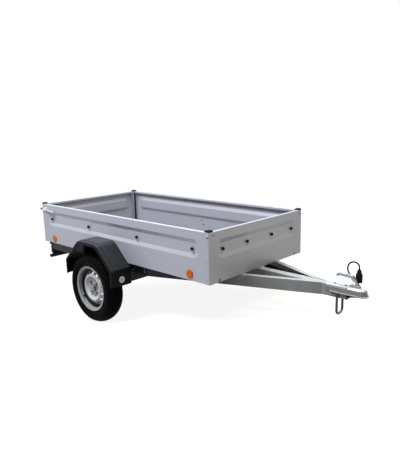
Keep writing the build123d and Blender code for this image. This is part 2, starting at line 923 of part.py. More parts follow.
# Coupling handle: pivot block, thin arm and pressed lever with a turned down end
with BuildPart() as coupling_handle:
    block(
        handle_block_rear, handle_block_front,
        -handle_width / 2, handle_width / 2,
        coupling_top, handle_block_top,
    )
    fillet(coupling_handle.edges().filter_by(Axis.Y).group_by(Axis.Z)[-1], handle_block_fillet)
    with BuildSketch(Plane.XZ):
        with BuildLine():
            FilletPolyline(
                (handle_end_x, handle_end_z - handle_end_drop),
                (handle_end_x, handle_end_z),
                (handle_crook_x, handle_crook_z),
                (handle_tip_x, handle_tip_z),
                radius=handle_bend,
            )
            offset(amount=handle_thickness, side=Side.RIGHT)
        make_face()
    extrude(amount=handle_width / 2, both=True)
    with BuildSketch(Plane.XZ):
        with BuildLine():
            Line((handle_tip_x, handle_tip_z), (handle_foot_x, (coupling_top + handle_block_top) / 2))
            offset(amount=handle_arm, side=Side.RIGHT)
        make_face()
    extrude(amount=handle_arm_width / 2, both=True)
keep("coupling_handle", coupling_handle)

# End plug of the centre beam with the cable's boss
with BuildPart() as beam_end_plug:
    block(centre_beam_front, centre_beam_front + beam_wall, -beam_apex, beam_apex, beam_bottom, beam_top)
    with BuildSketch(Plane.YZ.offset(centre_beam_front + beam_wall)):
        with Locations(cable_route[0][1:]):
            Circle(boss_radius)
    extrude(amount=cable_route[0][0] - centre_beam_front - beam_wall)
keep("beam_end_plug", beam_end_plug)

# Support leg, a round bar bent to a U under the coupling
leg_y = beam_apex + leg_radius
with BuildPart() as support_leg:
    with BuildLine() as leg_line:
        FilletPolyline(
            (leg_x, leg_y, coupling_base),
            (leg_x, leg_y, leg_low),
            (leg_x, -leg_y, leg_low),
            (leg_x, -leg_y, coupling_base),
            radius=leg_bend,
        )
    with BuildSketch(Plane((leg_x, leg_y, coupling_base), z_dir=(0, 0, -1))):
        Circle(leg_radius)
    sweep(path=leg_line.line)
keep("support_leg", support_leg)

# Plug holder: a strip on the left flange of the coupling that carries a shallow cup
holder_floor = plug_foot - holder_wall
with BuildPart() as plug_holder:
    block(
        strip_rear, strip_front,
        strip_side, strip_side + holder_wall,
        coupling_foot, holder_floor,
    )
    with BuildSketch(Plane((plug_x, plug_y, holder_floor))):
        Circle(holder_radius)
    extrude(amount=holder_height)
    with BuildSketch(Plane((plug_x, plug_y, plug_foot))):
        Circle(plug_radius + plug_clearance)
    extrude(amount=holder_height, mode=Mode.SUBTRACT)
keep("plug_holder", plug_holder)

# Plug: body, collar, neck and gland nut
with BuildPart() as plug:
    step_foot = plug_foot
    for height, radius in plug_steps:
        with BuildSketch(Plane((plug_x, plug_y, step_foot))) as step:
            Circle(radius)
        extrude(step.sketch, amount=height)
        step_foot += height
keep("plug", plug)

# Cable from the end plug up behind the handle and down into the plug
route = [Vector(*point) for point in cable_route]
cable_radii = []
for before, corner, after in zip(route, route[1:], route[2:]):
    turn = (corner - before).get_angle(after - corner)
    shorter = min((corner - before).length, (after - corner).length)
    cable_radii.append(cable_bend_share * shorter / math.tan(math.radians(turn / 2)))
print("cable radii", [round(radius) for radius in cable_radii])
with BuildPart() as cable:
    with BuildLine() as cable_line:
        FilletPolyline(*cable_route, radius=cable_radii)
    with BuildSketch(Plane(route[0], z_dir=route[1] - route[0])):
        Circle(cable_diameter / 2)
    sweep(path=cable_line.line)
cable_length = cable_line.wire().length
cable_section = math.pi * cable_diameter**2 / 4
print("cable length", round(cable_length), "volume", round(cable.part.volume))
print("cable section times length", round(cable_section * cable_length))
keep("cable", cable)

# Parking: the trailer turns about its wheels until the leg and the tyres stand on one plane
reach = leg_x - wheel_x
rise = leg_low - wheel_z
pitch = math.degrees(
    math.atan2(rise, reach) + math.asin((tyre_radius - leg_radius) / math.hypot(reach, rise))
)
turned = Location((0, 0, 0), (0, pitch, 0)) * Location((-wheel_x, 0, -wheel_z))
cord_pieces = ("cable", "plug")
parked_boxes = [
    piece.moved(turned).bounding_box() for name, piece in pieces.items() if name not in cord_pieces
]
rear_end = min(box.min.X for box in parked_boxes)
front_end = max(box.max.X for box in parked_boxes)
parked = Location((-(rear_end + front_end) / 2, 0, tyre_radius)) * turned
print("parked pitch", pitch, "origin moved to", round(parked.position.X, 4), round(parked.position.Z, 4))

os.makedirs("parts", exist_ok=True)
for name, piece in pieces.items():
    standing = piece.moved(parked)
    standing.label = name
    export_step(standing, f"parts/{name}.step")
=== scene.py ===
"""Looks of the parked utility trailer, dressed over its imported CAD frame."""
import json
import math

import bmesh
import bpy
from mathutils import Matrix, Vector


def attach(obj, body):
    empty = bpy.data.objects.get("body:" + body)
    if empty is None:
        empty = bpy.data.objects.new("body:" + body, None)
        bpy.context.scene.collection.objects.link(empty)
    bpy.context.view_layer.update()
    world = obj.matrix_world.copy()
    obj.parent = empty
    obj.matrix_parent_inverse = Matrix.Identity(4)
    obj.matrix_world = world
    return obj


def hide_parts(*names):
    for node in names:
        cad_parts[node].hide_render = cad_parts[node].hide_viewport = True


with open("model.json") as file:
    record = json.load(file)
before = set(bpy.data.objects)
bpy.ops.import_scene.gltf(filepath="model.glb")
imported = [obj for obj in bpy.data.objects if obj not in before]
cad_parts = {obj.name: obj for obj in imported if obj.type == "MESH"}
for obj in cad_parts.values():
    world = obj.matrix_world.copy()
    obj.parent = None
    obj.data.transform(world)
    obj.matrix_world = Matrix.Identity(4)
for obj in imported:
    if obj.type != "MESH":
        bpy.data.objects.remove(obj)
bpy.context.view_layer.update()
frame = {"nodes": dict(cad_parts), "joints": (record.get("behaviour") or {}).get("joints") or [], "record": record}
nodes = frame["nodes"]
joints = {joint["name"]: joint for joint in frame["joints"]}
mounts = {mount["name"]: mount for mount in frame["record"]["mounts"]}

# The trailer is drawn level, in metres: x forward from the box's rear, y left from the centre line, z up from
# the walls' lower edge. LEVEL lets it down onto its support leg as the CAD frame stands.
BOX_FRONT = 2.096
HALF_WIDTH = 0.544
FLOOR_TOP = 0.0135
WHEEL_X = 0.943
WHEEL_Y = 0.637
WHEEL_Z = -0.229
FORWARD, BACK, UP = (1, 0, 0), (-1, 0, 0), (0, 0, 1)
up = Vector(mounts["load_floor"]["axis"])
left = Vector((0, 1, 0))
forward = left.cross(up)
turn = Matrix((forward, left, up)).transposed().to_4x4()
wheel_centre = Vector(joints["wheel_left_spin"]["pos_m"])
LEVEL = Matrix.Translation(wheel_centre - turn.to_3x3() @ Vector((WHEEL_X, WHEEL_Y, WHEEL_Z))) @ turn

# Camera, fitted to the box's corners in the photograph
IMAGE_HEIGHT = 449
FOCAL_PIXELS = 488.2
SENSOR_WIDTH = 36
CAMERA_PLACE = Vector((4.151, -2.764, 1.011))
CAMERA_HEADING = math.radians(133.82)
CAMERA_DIP = math.radians(-11.30)
CAMERA_ROLL = math.radians(-1.39)

view = Vector((
    math.cos(CAMERA_DIP) * math.cos(CAMERA_HEADING),
    math.cos(CAMERA_DIP) * math.sin(CAMERA_HEADING),
    math.sin(CAMERA_DIP),
))
level_right = view.cross(Vector(UP)).normalized()
level_up = level_right.cross(view)
camera_right = math.cos(CAMERA_ROLL) * level_right + math.sin(CAMERA_ROLL) * level_up
camera_up = math.cos(CAMERA_ROLL) * level_up - math.sin(CAMERA_ROLL) * level_right
camera_turn = Matrix((camera_right, camera_up, -view)).transposed().to_4x4()
camera_data = bpy.data.cameras.new("camera")
camera_data.sensor_width = SENSOR_WIDTH
camera_data.lens = FOCAL_PIXELS / IMAGE_HEIGHT * SENSOR_WIDTH
camera = bpy.data.objects.new("camera", camera_data)
camera.matrix_world = LEVEL @ Matrix.Translation(CAMERA_PLACE) @ camera_turn
bpy.context.collection.objects.link(camera)
bpy.context.scene.camera = camera


# Patterns that the materials are made of
def new_material(name, colour, roughness, metallic=0.0, gloss=0.5):
    """Material with one shader; gives back the material, its node tree and the shader."""
    material = bpy.data.materials.new(name)
    material.use_nodes = True
    tree = material.node_tree
    shader = tree.nodes["Principled BSDF"]
    shader.inputs["Base Color"].default_value = (*colour, 1)
    shader.inputs["Roughness"].default_value = roughness
    shader.inputs["Metallic"].default_value = metallic
    shader.inputs["Specular IOR Level"].default_value = gloss
    return material, tree, shader


def place(tree, stretch=(1, 1, 1)):
    """Object coordinates in metres, stretched along the axes."""
    source = tree.nodes.new("ShaderNodeTexCoord")
    mapping = tree.nodes.new("ShaderNodeMapping")
    mapping.inputs["Scale"].default_value = stretch
    tree.links.new(source.outputs["Object"], mapping.inputs["Vector"])
    return mapping.outputs["Vector"]


def split_axes(tree, vector):
    """Parts of a vector, by the names X, Y and Z."""
    node = tree.nodes.new("ShaderNodeSeparateXYZ")
    tree.links.new(vector, node.inputs["Vector"])
    return node.outputs


def length_of(tree, vector):
    """Length of a vector."""
    node = tree.nodes.new("ShaderNodeVectorMath")
    node.operation = "LENGTH"
    tree.links.new(vector, node.inputs[0])
    return node.outputs["Value"]


def noise(tree, vector, scale, detail=2.0):
    """Cloudy pattern, 0 to 1."""
    node = tree.nodes.new("ShaderNodeTexNoise")
    node.inputs["Scale"].default_value = scale
    node.inputs["Detail"].default_value = detail
    tree.links.new(vector, node.inputs["Vector"])
    return node.outputs["Fac"]


def cells(tree, vector, scale):
    """Random even tone in every cell, 0 to 1."""
    node = tree.nodes.new("ShaderNodeTexVoronoi")
    node.inputs["Scale"].default_value = scale
    tree.links.new(vector, node.inputs["Vector"])
    split = tree.nodes.new("ShaderNodeSeparateColor")
    tree.links.new(node.outputs["Color"], split.inputs["Color"])
    return split.outputs["Red"]


def between(tree, factor, low, high, start=0.0, end=1.0):
    """Maps a pattern from start..end to low..high."""
    node = tree.nodes.new("ShaderNodeMapRange")
    node.inputs["From Min"].default_value = start
    node.inputs["From Max"].default_value = end
    node.inputs["To Min"].default_value = low
    node.inputs["To Max"].default_value = high
    tree.links.new(factor, node.inputs["Value"])
    return node.outputs["Result"]


def calculate(tree, operation, *values):
    """Result of a math operation on one or two patterns."""
    node = tree.nodes.new("ShaderNodeMath")
    node.operation = operation
    for value, socket in zip(values, node.inputs):
        tree.links.new(value, socket)
    return node.outputs[0]


# Sockets of a mix node that carry colours
MIX_FIRST, MIX_SECOND, MIX_RESULT = 6, 7, 2


def blend_colour(tree, factor, first, second):
    """Colour between two others; each is a colour or a socket."""
    node = tree.nodes.new("ShaderNodeMix")
    node.data_type = "RGBA"
    tree.links.new(factor, node.inputs["Factor"])
    for socket, colour in ((node.inputs[MIX_FIRST], first), (node.inputs[MIX_SECOND], second)):
        if isinstance(colour, bpy.types.NodeSocket):
            tree.links.new(colour, socket)
        else:
            socket.default_value = (*colour, 1)
    return node.outputs[MIX_RESULT]


def raise_bump(tree, shader, height, strength, depth):
    """Bump from a height pattern; depth in metres."""
    node = tree.nodes.new("ShaderNodeBump")
    node.inputs["Strength"].default_value = strength
    node.inputs["Distance"].default_value = depth
    tree.links.new(height, node.inputs["Height"])
    tree.links.new(node.outputs["Normal"], shader.inputs["Normal"])


def facing(tree, direction, start, end):
    """0 to 1 as the surface, in the object's own frame, turns to a direction; start and end are cosines."""
    source = tree.nodes.new("ShaderNodeTexCoord")
    node = tree.nodes.new("ShaderNodeVectorMath")
    node.operation = "DOT_PRODUCT"
    node.inputs[1].default_value = direction
    tree.links.new(source.outputs["Normal"], node.inputs[0])
    return between(tree, node.outputs["Value"], 0, 1, start, end)


# Cosines between which a face starts to look inward and does so fully, and the blend at the middle plane
INNER_START = 0.3
INNER_END = 0.6
MIDDLE_BLEND = 0.001


def inner_faces(tree, vector, axis="Y", outward=left, middle=0.0):
    """0 to 1 on the faces that look to a middle plane across an axis, or to the trailer's centre line."""
    along = split_axes(tree, vector)[axis]
    halves = []
    for low, high, inward in ((0, 1, -outward), (1, 0, outward)):
        half = between(tree, along, low, high, start=middle - MIDDLE_BLEND, end=middle + MIDDLE_BLEND)
        halves.append(calculate(tree, "MULTIPLY", half, facing(tree, inward, INNER_START, INNER_END)))
    return calculate(tree, "ADD", *halves)


def tinted(colour, factor):
    """Colour made lighter or darker."""
    return tuple(min(1.0, channel * factor) for channel in colour)


# Materials
def zinc_sheet(name, shade_colour=None):
    """Satin coated sheet with a fine crystal pattern and faint rolling streaks; the optional colour is
    painted as shade on the faces that look along the box to its middle."""
    colour = (0.407, 0.416, 0.466)
    material, tree, shader = new_material(name, colour, roughness=0.45, metallic=0.2)
    vector = place(tree)
    crystals = cells(tree, vector, scale=420)
    fine = blend_colour(tree, crystals, tinted(colour, 0.95), tinted(colour, 1.05))
    streaks = noise(tree, place(tree, stretch=(2, 40, 40)), scale=3, detail=3)
    streaked = between(tree, streaks, low=0, high=0.5, start=0.35, end=0.75)
    worn = blend_colour(tree, streaked, fine, tinted(colour, 1.08))
    if shade_colour:
        box_middle = (LEVEL @ Vector((BOX_FRONT / 2, 0, 0))).x
        # Painted shade: the faces that look along the box to its middle take the dark colour
        worn = blend_colour(tree, inner_faces(tree, vector, "X", forward, box_middle), worn, shade_colour)
    tree.links.new(worn, shader.inputs["Base Color"])
    patches = noise(tree, vector, scale=9, detail=4)
    tree.links.new(between(tree, patches, low=0.38, high=0.5), shader.inputs["Roughness"])
    raise_bump(tree, shader, noise(tree, vector, scale=240), strength=0.05, depth=0.001)
    return material


# Painted shade on the steel under the box ends at a level x, and fades over a length
SHADE_END = 2.08
SHADE_FADE = 0.2


def galvanised_steel(name):
    """Hot-dip zinc with fine crystals and dull patches, a painted highlight on the faces that look up, and
    painted shade, near black, in the channels and under the box."""
    colour = (0.29, 0.295, 0.292)
    material, tree, shader = new_material(name, colour, roughness=0.24, gloss=0.15)
    vector = place(tree)
    crystals = cells(tree, vector, scale=170)
    spangle = blend_colour(tree, crystals, tinted(colour, 0.95), tinted(colour, 1.06))
    patches = between(tree, noise(tree, vector, scale=7, detail=5), low=0, high=0.6, start=0.4, end=0.75)
    dull = blend_colour(tree, patches, spangle, tinted(colour, 0.82))
    # Painted shade: the steel under the box and the faces that look to the centre line go near black
    shade_end = (LEVEL @ Vector((SHADE_END, 0, 0))).x
    under_box_shade = between(tree, split_axes(tree, vector)["X"], 1, 0, start=shade_end - SHADE_FADE, end=shade_end)
    shade_mask = calculate(tree, "MAXIMUM", inner_faces(tree, vector), under_box_shade)
    shaded = blend_colour(tree, shade_mask, dull, tinted(colour, 0.08))
    # Painted highlight: the faces that look up are lighter
    top_highlight = blend_colour(tree, facing(tree, up, start=0.85, end=0.97), shaded, tinted(colour, 1.35))
    tree.links.new(top_highlight, shader.inputs["Base Color"])
    tree.links.new(between(tree, crystals, low=0.2, high=0.28), shader.inputs["Roughness"])
    raise_bump(tree, shader, noise(tree, vector, scale=160, detail=3), strength=0.06, depth=0.001)
    return material


def plated(name, colour, roughness, metallic, top_highlight, inner_shade):
    """Bright plating with soft colour drift, with factors for a painted highlight on the faces that look up
    and for painted shade on its inner faces."""
    material, tree, shader = new_material(name, colour, roughness, metallic)
    vector = place(tree)
    drift = noise(tree, vector, scale=45, detail=4)
    plating = blend_colour(tree, drift, tinted(colour, 0.94), tinted(colour, 1.06))
    # Painted shade on the faces that look to the centre line, by a factor
    shaded = blend_colour(tree, inner_faces(tree, vector), plating, tinted(colour, inner_shade))
    # Painted highlight on the faces that look up, by a factor
    highlighted = blend_colour(tree, facing(tree, up, start=0.2, end=0.9), shaded, tinted(colour, top_highlight))
    tree.links.new(highlighted, shader.inputs["Base Color"])
    worn = between(tree, drift, low=roughness - 0.06, high=roughness + 0.1)
    tree.links.new(worn, shader.inputs["Roughness"])
    raise_bump(tree, shader, noise(tree, vector, scale=500), strength=0.06, depth=0.0005)
    return material


# Bands of a rim: radii, and distances out from the wheel's middle plane
WELL_RADII = (0.136, 0.143)
WELL_EDGE = (0.030, 0.038)
BARREL_RADII = (0.146, 0.156)
BEND_INNER_EDGE = (0.051, 0.0535)
BEND_OUTER_EDGE = (0.055, 0.0575)


def rim_silver(name):
    """Silver lacquer, with painted shade: darker on the barrel, and near black in the well behind the disc
    and in the bend under the lip."""
    colour = (0.54, 0.545, 0.555)
    material, tree, shader = new_material(name, colour, roughness=0.28, gloss=0.2)
    vector = place(tree)
    spot = split_axes(tree, vector)
    spread = tree.nodes.new("ShaderNodeCombineXYZ")
    for axis, middle in (("X", wheel_centre.x), ("Z", wheel_centre.z)):
        offset = between(tree, spot[axis], -1, 1, start=middle - 1, end=middle + 1)
        tree.links.new(offset, spread.inputs[axis])
    radius = length_of(tree, spread.outputs["Vector"])
    outward = calculate(tree, "ABSOLUTE", spot["Y"])

    def edge(low, high, distances):
        """Pattern that changes over two distances from the wheel's middle plane."""
        return between(tree, outward, low, high, *(WHEEL_Y + distance for distance in distances))

    drift = noise(tree, vector, scale=45, detail=4)
    lacquer = blend_colour(tree, drift, tinted(colour, 0.94), tinted(colour, 1.06))
    barrel = between(tree, radius, 0, 1, *BARREL_RADII)
    # Painted shade: the barrel is darker
    barrel_shaded = blend_colour(tree, barrel, lacquer, tinted(colour, 0.6))
    bend = calculate(tree, "MULTIPLY", edge(0, 1, BEND_INNER_EDGE), edge(1, 0, BEND_OUTER_EDGE))
    # Painted shade: a dark line in the bend under the lip
    bend_shaded = blend_colour(tree, calculate(tree, "MULTIPLY", barrel, bend), barrel_shaded, tinted(colour, 0.12))
    # Painted shade: near black in the well behind the disc, which is also rougher
    shade_mask = calculate(tree, "MULTIPLY", between(tree, radius, 0, 1, *WELL_RADII), edge(1, 0, WELL_EDGE))
    shaded = blend_colour(tree, shade_mask, bend_shaded, tinted(colour, 0.03))
    tree.links.new(shaded, shader.inputs["Base Color"])
    tree.links.new(between(tree, shade_mask, low=0.28, high=0.7), shader.inputs["Roughness"])
    raise_bump(tree, shader, noise(tree, vector, scale=500), strength=0.06, depth=0.0005)
    return material


def moulded(name, colour, roughness, gloss, grain_scale, grain_depth, top_sheen):
    """Moulded plastic or rubber with a fine grain and pale dust, and a painted sheen on the faces that look up, by
    a factor.
    """
    material, tree, shader = new_material(name, colour, roughness, gloss=gloss)
    vector = place(tree)
    dust = noise(tree, vector, scale=14, detail=5)
    spread = between(tree, dust, 0, 1, start=0.35, end=0.75)
    dusty = blend_colour(tree, spread, tinted(colour, 0.85), tinted(colour, 1.3))
    # Painted sheen: the faces that look up are lighter by a factor, most on the mudguards
    sheened = blend_colour(tree, facing(tree, up, start=0.55, end=1.0), dusty, tinted(colour, top_sheen))
    tree.links.new(sheened, shader.inputs["Base Color"])
    worn = between(tree, dust, low=roughness - 0.05, high=roughness + 0.1)
    tree.links.new(worn, shader.inputs["Roughness"])
    raise_bump(tree, shader, noise(tree, vector, grain_scale), strength=0.25, depth=grain_depth)
    return material


def plywood(name):
    """Brown film-faced board with a pressed wire mesh pattern."""
    colour = (0.105, 0.085, 0.072)
    material, tree, shader = new_material(name, colour, roughness=0.5, gloss=0.12)
    vector = place(tree)
    mesh = []
    for direction in ("X", "Y"):
        wave = tree.nodes.new("ShaderNodeTexWave")
        wave.bands_direction = direction
        wave.inputs["Scale"].default_value = 55
        tree.links.new(vector, wave.inputs["Vector"])
        mesh.append(between(tree, wave.outputs["Fac"], 0, 1, start=0.75, end=1))
    wires = calculate(tree, "MAXIMUM", *mesh)
    drift = noise(tree, vector, scale=7, detail=5)
    film = blend_colour(tree, drift, tinted(colour, 0.8), tinted(colour, 1.25))
    printed = blend_colour(tree, between(tree, wires, low=0, high=0.45), film, tinted(colour, 0.5))
    tree.links.new(printed, shader.inputs["Base Color"])
    tree.links.new(between(tree, drift, low=0.4, high=0.6), shader.inputs["Roughness"])
    raise_bump(tree, shader, wires, strength=0.4, depth=0.0006)
    return material


def lens(name, colour):
    """Clear coloured plastic over a fine prism pattern."""
    material, tree, shader = new_material(name, colour, roughness=0.16, gloss=0.06)
    shader.inputs["Coat Weight"].default_value = 0.05
    shader.inputs["Coat Roughness"].default_value = 0.06
    prisms = cells(tree, place(tree), scale=260)
    cut = blend_colour(tree, prisms, tinted(colour, 0.75), tinted(colour, 1.2))
    tree.links.new(cut, shader.inputs["Base Color"])
    raise_bump(tree, shader, prisms, strength=0.25, depth=0.0008)
    return material


PLATINGS = (
    # name, colour, roughness, metallic, factor of painted highlight on tops, factor of painted shade on inner
    # faces
    # The coupling's tone is dark with a much lighter top: painted shade on its sides and a painted highlight on
    # top
    ("coupling_zinc", (0.15, 0.154, 0.156), 0.2, 0.2, 3.4, 1.0),
    ("latch_zinc", (0.72, 0.73, 0.75), 0.22, 0.85, 1.0, 1.0),
    ("bright_zinc", (0.44, 0.447, 0.453), 0.16, 0.5, 1.2, 1.0),
    ("worn_zinc", (0.27, 0.275, 0.28), 0.16, 0.5, 1.9, 1.0),
    # The support leg's near black colour is painted shade and dark reflection, with a strong painted highlight on
    # its tops
    ("leg_zinc", (0.035, 0.0355, 0.036), 0.2, 0.4, 11.0, 0.3),
    ("hub_steel", (0.2, 0.205, 0.21), 0.34, 0.8, 1.0, 1.0),
)
MOULDINGS = (
    # name, colour, roughness, gloss, grain's scale, grain's depth in metres, factor of painted sheen on top
    ("black_plastic", (0.006, 0.006, 0.007), 0.4, 0.07, 700, 0.0003, 1.0),
    ("mudguard_plastic", (0.008, 0.0082, 0.0088), 0.3, 0.05, 900, 0.0004, 5.0),
    ("lamp_bar_black", (0.007, 0.007, 0.008), 0.45, 0.1, 400, 0.0003, 1.0),
    ("cable_jacket", (0.003, 0.003, 0.003), 0.45, 0.02, 300, 0.0002, 1.0),
    ("tyre_rubber", (0.003, 0.003, 0.0033), 0.6, 0.02, 500, 0.0004, 1.0),
)
LENSES = (
    # name, colour
    ("lamp_lens", (0.42, 0.012, 0.012)),
    ("amber_reflector", (0.68, 0.13, 0.0)),
)
# Dark colour painted as shade on the corner posts' inner faces
POST_SHADE = (0.03, 0.034, 0.045)
MATERIALS = {
    "zinc_sheet": zinc_sheet("zinc_sheet"),
    "post_zinc": zinc_sheet("post_zinc", POST_SHADE),
    "galvanised_steel": galvanised_steel("galvanised_steel"),
    "plywood": plywood("plywood"),
    "rim_silver": rim_silver("rim_silver"),
}
for make, table in ((plated, PLATINGS), (moulded, MOULDINGS), (lens, LENSES)):
    for row in table:
        MATERIALS[row[0]] = make(*row)

NODE_SLOTS = {
    "zinc_sheet": ("side_wall_left", "side_wall_right", "front_wall", "tailgate"),
    "post_zinc": ("corner_posts",),
    "galvanised_steel": (
        "drawbar_beam_left", "drawbar_beam_right", "drawbar_beam_centre", "cross_member_front",
        "cross_member_middle", "rear_sill", "axle_tube", "axle_brackets", "swing_arm_left", "swing_arm_right",
        "mudguard_stays",
    ),
    "coupling_zinc": ("coupling_body", "hinge_knuckles", "hinge_leaves", "latch_catches"),
    "latch_zinc": ("latch_levers",),
    "bright_zinc": ("mudguard_washers",),
    "worn_zinc": ("coupling_handle",),
    "leg_zinc": ("support_leg",),
    "plywood": ("floor_panel",),
    "black_plastic": (
        "corner_caps", "wall_knobs", "tailgate_knobs", "latch_knobs", "beam_end_plug", "plug", "plug_holder",
        "rear_lamp_left", "rear_lamp_right",
    ),
    "mudguard_plastic": ("mudguard_left", "mudguard_right"),
    "lamp_bar_black": ("lamp_bar",),
    "lamp_lens": ("lens_red_left", "lens_red_right"),
    "amber_reflector": ("side_reflectors", "lens_amber_left", "lens_amber_right"),
    "cable_jacket": ("cable",),
    "tyre_rubber": ("tyre_left", "tyre_right"),
    "rim_silver": ("rim_left", "rim_right"),
    "hub_steel": ("hub_left", "hub_right", "dust_cap_left", "dust_cap_right"),
}
for slot, names in NODE_SLOTS.items():
    for name in names:
        nodes[name].data.materials.clear()
        nodes[name].data.materials.append(MATERIALS[slot])


# Small turned pieces
SHARP_ANGLE = math.radians(35)
RIB_PITCH = 4


def seat(spot, normal):
    """Frame that stands on a level place and points along a level normal."""
    return LEVEL @ Matrix.Translation(spot) @ Vector(normal).to_track_quat("Z", "Y").to_matrix().to_4x4()


def add_turned(work, stand, profile, sides, ribs=None, rib_depth=0.0):
    """Closed turned form on a stand; rows are radius and height, and upright ribs fill a range of heights."""
    rings = []
    for radius, height in profile:
        ribbed = ribs and ribs[0] <= height <= ribs[1]
        ring = []
        for step in range(sides if radius else 1):
            reach = radius - rib_depth if ribbed and step % RIB_PITCH < RIB_PITCH / 2 else radius
            angle = math.tau * step / sides
            spot = Vector((reach * math.cos(angle), reach * math.sin(angle), height))
            ring.append(work.verts.new(stand @ spot))
        rings.append(ring)
    work.faces.new(rings[0][::-1])
    for low, high in zip(rings, rings[1:]):
        for step in range(sides):
            after = (step + 1) % sides
            if len(high) == 1:
                work.faces.new((low[step], low[after], high[0]))
            else:
                work.faces.new((low[step], low[after], high[after], high[step]))


def add_piece(name, work, slot, body, sharp=SHARP_ANGLE):
    """Turns mesh work into a piece that rides on a body."""
    mesh = bpy.data.meshes.new(name)
    bmesh.ops.recalc_face_normals(work, faces=work.faces)
    work.to_mesh(mesh)
    work.free()
    mesh.materials.append(MATERIALS[slot])
    mesh.shade_smooth()
    mesh.set_sharp_from_angle(angle=sharp)
    piece = bpy.data.objects.new(name, mesh)
    bpy.context.collection.objects.link(piece)
    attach(piece, body)
    return piece


# Plug in its holder, with a ribbed grip and a gland nut at the cable; rows are radius and height
PLUG_PLACE = (2.830, 0.047, 0.029)
PLUG_SIDES = 72
PLUG_RIBS = (0.013, 0.0435)
PLUG_RIB_DEPTH = 0.0012
PLUG = (
    (0.0165, 0), (0.017, 0.0008), (0.017, 0.0105), (0.0205, 0.0125), (0.0215, 0.013), (0.0215, 0.0435),
    (0.0205, 0.046), (0.0205, 0.0505), (0.0195, 0.0515), (0.0165, 0.054), (0.016, 0.0605), (0.0138, 0.0615),
    (0.0138, 0.0725), (0.011, 0.076), (0.0075, 0.0815), (0, 0.082),
)
work = bmesh.new()
add_turned(work, seat(PLUG_PLACE, UP), PLUG, PLUG_SIDES, PLUG_RIBS, PLUG_RIB_DEPTH)
plug_body = add_piece("plug_body", work, "black_plastic", "chassis")
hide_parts("plug")

# Cable from the drawbar's end up behind the handle and down into the plug
CABLE_DIAMETER = 0.010
CABLE_ROUTE = (
    (2.792, 0.008, -0.064),
    (2.818, 0.008, -0.064),
    (2.842, 0.026, -0.066),
    (2.850, 0.056, -0.058),
    (2.840, 0.076, -0.032),
    (2.816, 0.076, 0.000),
    (2.790, 0.066, 0.030),
    (2.764, 0.054, 0.062),
    (2.752, 0.047, 0.090),
    (2.752, 0.045, 0.118),
    (2.765, 0.045, 0.143),
    (2.789, 0.045, 0.155),
    (2.815, 0.046, 0.150),
    (2.830, 0.047, 0.136),
    (2.830, 0.047, 0.111),
)
cable_curve = bpy.data.curves.new("cable_run", "CURVE")
cable_curve.dimensions = "3D"
cable_curve.bevel_depth = CABLE_DIAMETER / 2
cable_curve.bevel_resolution = 5
cable_curve.use_fill_caps = True
cable_spline = cable_curve.splines.new("NURBS")
cable_spline.points.add(len(CABLE_ROUTE) - 1)
for point, stop in zip(cable_spline.points, CABLE_ROUTE):
    point.co = (*(LEVEL @ Vector(stop)), 1)
cable_spline.order_u = 3
cable_spline.use_endpoint_u = True
cable_spline.resolution_u = 12
cable_curve.materials.append(MATERIALS["cable_jacket"])
cable_run = bpy.data.objects.new("cable_run", cable_curve)
bpy.context.collection.objects.link(cable_run)
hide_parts("cable")
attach(cable_run, "chassis")

# Fastener heads: rows of sides and a profile of radius and height
SUNK = -0.0003
HEADS = {
    "rivet": ((16, ((0.004, SUNK), (0.004, 0.0004), (0.0034, 0.0014), (0.002, 0.002), (0, 0.0022))),),
    "pin": ((12, ((0.003, SUNK), (0.003, 0.0006), (0.0022, 0.0014), (0, 0.0017))),),
    "screw": ((16, ((0.0045, SUNK), (0.0045, 0.0003), (0.003, 0.0006), (0.0016, 0.0001), (0, 0.0001))),),
    "dome": ((20, ((0.0085, SUNK), (0.0085, 0.0008), (0.007, 0.0028), (0.004, 0.0042), (0, 0.0047))),),
    "stopper": ((20, ((0.0075, SUNK), (0.0075, 0.001), (0.006, 0.0022), (0.003, 0.0026), (0, 0.0026))),),
    "hex": (
        (24, ((0.0105, SUNK), (0.0105, 0.0012), (0.0098, 0.0016), (0, 0.0016))),
        (6, ((0.0078, 0.001), (0.0078, 0.0056), (0.007, 0.0066), (0, 0.0066))),
    ),
    "wheel": (
        (24, ((0.0105, -0.001), (0.0125, 0.003), (0.0125, 0.0045), (0.0095, 0.0055), (0, 0.0055))),
        (6, ((0.0098, 0.005), (0.0098, 0.015), (0.0084, 0.0172), (0.004, 0.0178), (0, 0.0178))),
    ),
    "axle": (
        (32, ((0.021, -0.0005), (0.021, 0.002), (0.0195, 0.003), (0, 0.003))),
        (6, ((0.0155, 0.0025), (0.0155, 0.0115), (0.0138, 0.0135), (0, 0.0135))),
    ),
}


def on_sides(y, spots, inward=False):
    """Places on both sides at a distance from the centre line, with their normals; spots are x and z."""
    face = -1 if inward else 1
    return [((x, side * y, z), (0, side * face, 0)) for side in (-1, 1) for x, z in spots]


def across(x, normal, spots):
    """Places on both halves of a crosswise face, with their normals; spots are y and z."""
    return [((x, side * y, z), normal) for side in (-1, 1) for y, z in spots]


WHEEL_DISC = 0.0215
WHEEL_BOLTS = 4
WHEEL_BOLT_CIRCLE = 0.050


def wheel_bolts(side):
    """Places of the bolts on a wheel's disc, with their normals."""
    places = []
    for step in range(WHEEL_BOLTS):
        angle = math.tau * (step + 0.5) / WHEEL_BOLTS
        x = WHEEL_X + WHEEL_BOLT_CIRCLE * math.cos(angle)
        z = WHEEL_Z + WHEEL_BOLT_CIRCLE * math.sin(angle)
        places.append(((x, side * (WHEEL_Y + WHEEL_DISC), z), (0, side, 0)))
    return places


